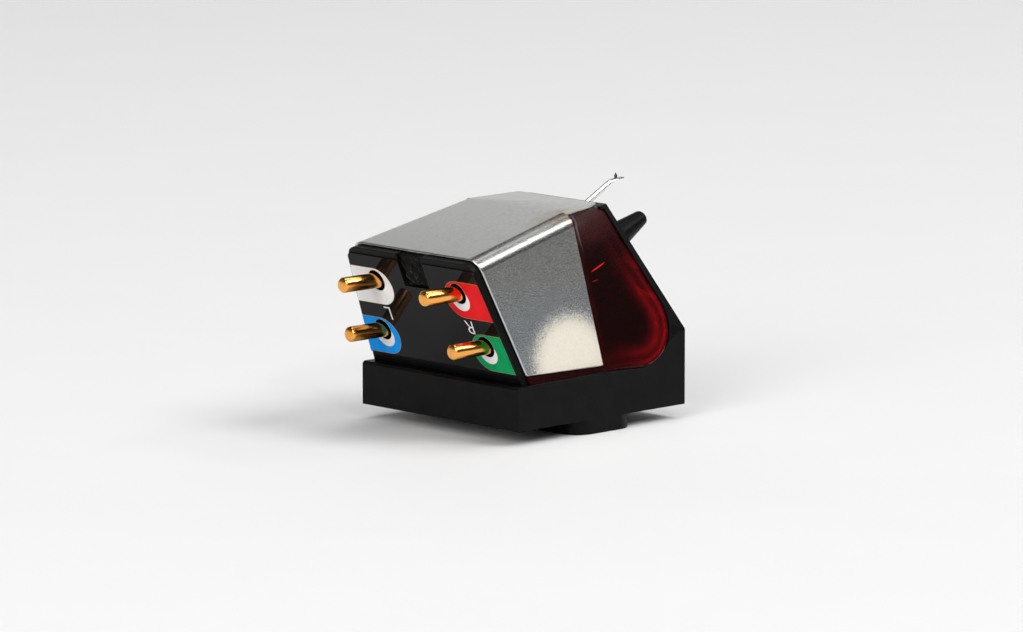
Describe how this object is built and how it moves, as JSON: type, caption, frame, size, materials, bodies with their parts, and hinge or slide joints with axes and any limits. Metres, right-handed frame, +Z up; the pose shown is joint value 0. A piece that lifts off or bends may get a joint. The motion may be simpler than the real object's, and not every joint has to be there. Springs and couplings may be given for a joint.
{
  "type": "turntable stylus cartridge",
  "caption": "Moving-coil turntable cartridge on its mounting pads: black chassis, red translucent housing, folded steel cover, gold terminal pins and a sprung stylus arm.",
  "frame": {"origin": "midway between the two mounting holes, on the plane of the mounting pads", "axes": "+X forward to the stylus, +Y to the left, +Z up from the mounting plane to the stylus"},
  "size_m": [0.03, 0.0186, 0.0195],
  "materials": {
    "black_moulding": "satin moulded",
    "red_plastic": "translucent, polished",
    "cover_steel": "satin grain",
    "label_film": "glossy printed film",
    "gold_plate": "gold plated",
    "potting": "set resin",
    "magnet_iron": "plated magnet",
    "pole_steel": "plain soft iron",
    "copper_winding": "enamelled wire",
    "former_plastic": "moulded",
    "damper_rubber": "soft rubber",
    "spring_wire": "drawn wire",
    "sleeve_brass": "turned",
    "cantilever_aluminium": "drawn tube",
    "diamond": "ground diamond"
  },
  "bodies": {
    "cartridge_body": {"chassis": "black_moulding", "cover": "cover_steel", "front_pole_plate": "pole_steel", "housing": "red_plastic", "lead_wire_left_lower": "copper_winding", "lead_wire_left_upper": "copper_winding", "lead_wire_right_lower": "copper_winding", "lead_wire_right_upper": "copper_winding", "magnet": "magnet_iron", "potting_resin": "potting", "rear_pole": "pole_steel", "rear_yoke": "pole_steel", "set_screw": "pole_steel", "suspension_sleeve": "sleeve_brass", "terminal_block": "black_moulding", "terminal_label": "label_film", "terminal_pin_left_lower": "gold_plate", "terminal_pin_left_upper": "gold_plate", "terminal_pin_right_lower": "gold_plate", "terminal_pin_right_upper": "gold_plate"},
    "suspension": {"damper_ring": "damper_rubber", "suspension_wire": "spring_wire"},
    "stylus_arm": {"coil_former": "former_plastic", "left_coil": "copper_winding", "right_coil": "copper_winding", "cantilever": "cantilever_aluminium", "stylus": "diamond"}
  },
  "joints": [
    {"name": "stylus_swing", "type": "hinge", "parent": "cartridge_body", "child": "suspension", "pos_m": [0.00078, 0, 0.01406], "axis": [-0.4664, 0, 0.8846], "range_deg": [-2, 2], "stiffness_Nm_per_rad": 0.0075},
    {"name": "stylus_nod", "type": "hinge", "parent": "suspension", "child": "stylus_arm", "pos_m": [0.00078, 0, 0.01406], "axis": [0, 1, 0], "range_deg": [-2, 3], "stiffness_Nm_per_rad": 0.0075}
  ]
}
